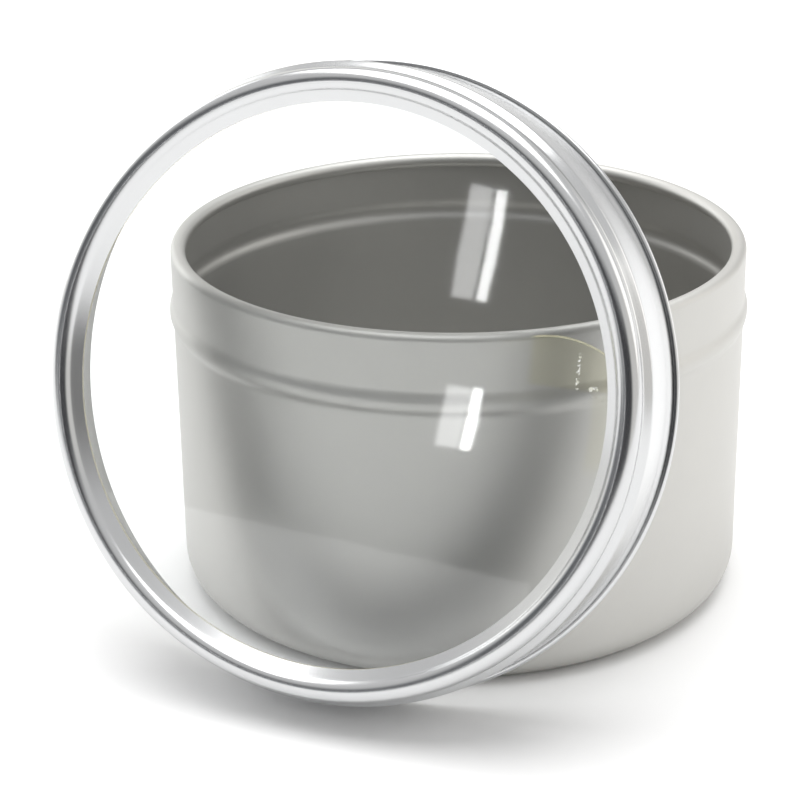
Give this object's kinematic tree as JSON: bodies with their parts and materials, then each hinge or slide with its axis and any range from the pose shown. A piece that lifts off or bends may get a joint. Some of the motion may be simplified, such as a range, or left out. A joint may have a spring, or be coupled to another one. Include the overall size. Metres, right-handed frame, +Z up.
{
  "type": "candle tin",
  "caption": "Round drawn tinplate candle tin with a beaded wall and a slip lid with a clear window, the lid leaning on its rim.",
  "frame": {"origin": "centre of the underside of the tin's base", "axes": "+Z up along the tin's axis; -Y towards the side the lid leans on; +X to the right of someone facing the lid"},
  "size_m": [0.0838, 0.0972, 0.0821],
  "materials": {
    "tin_steel": "satin",
    "lid_steel": "satin",
    "window_clear": "clear gloss",
    "glue": "translucent"
  },
  "bodies": {
    "tin": {"tin_body": "tin_steel"},
    "lid": {"lid_ring": "lid_steel", "window": "window_clear", "window_glue": "glue"}
  },
  "joints": [
    {"name": "lid_lift", "type": "slide", "parent": "tin", "child": "lid", "axis": [0, 0, 1], "range_m": [0, 0.08]}
  ]
}
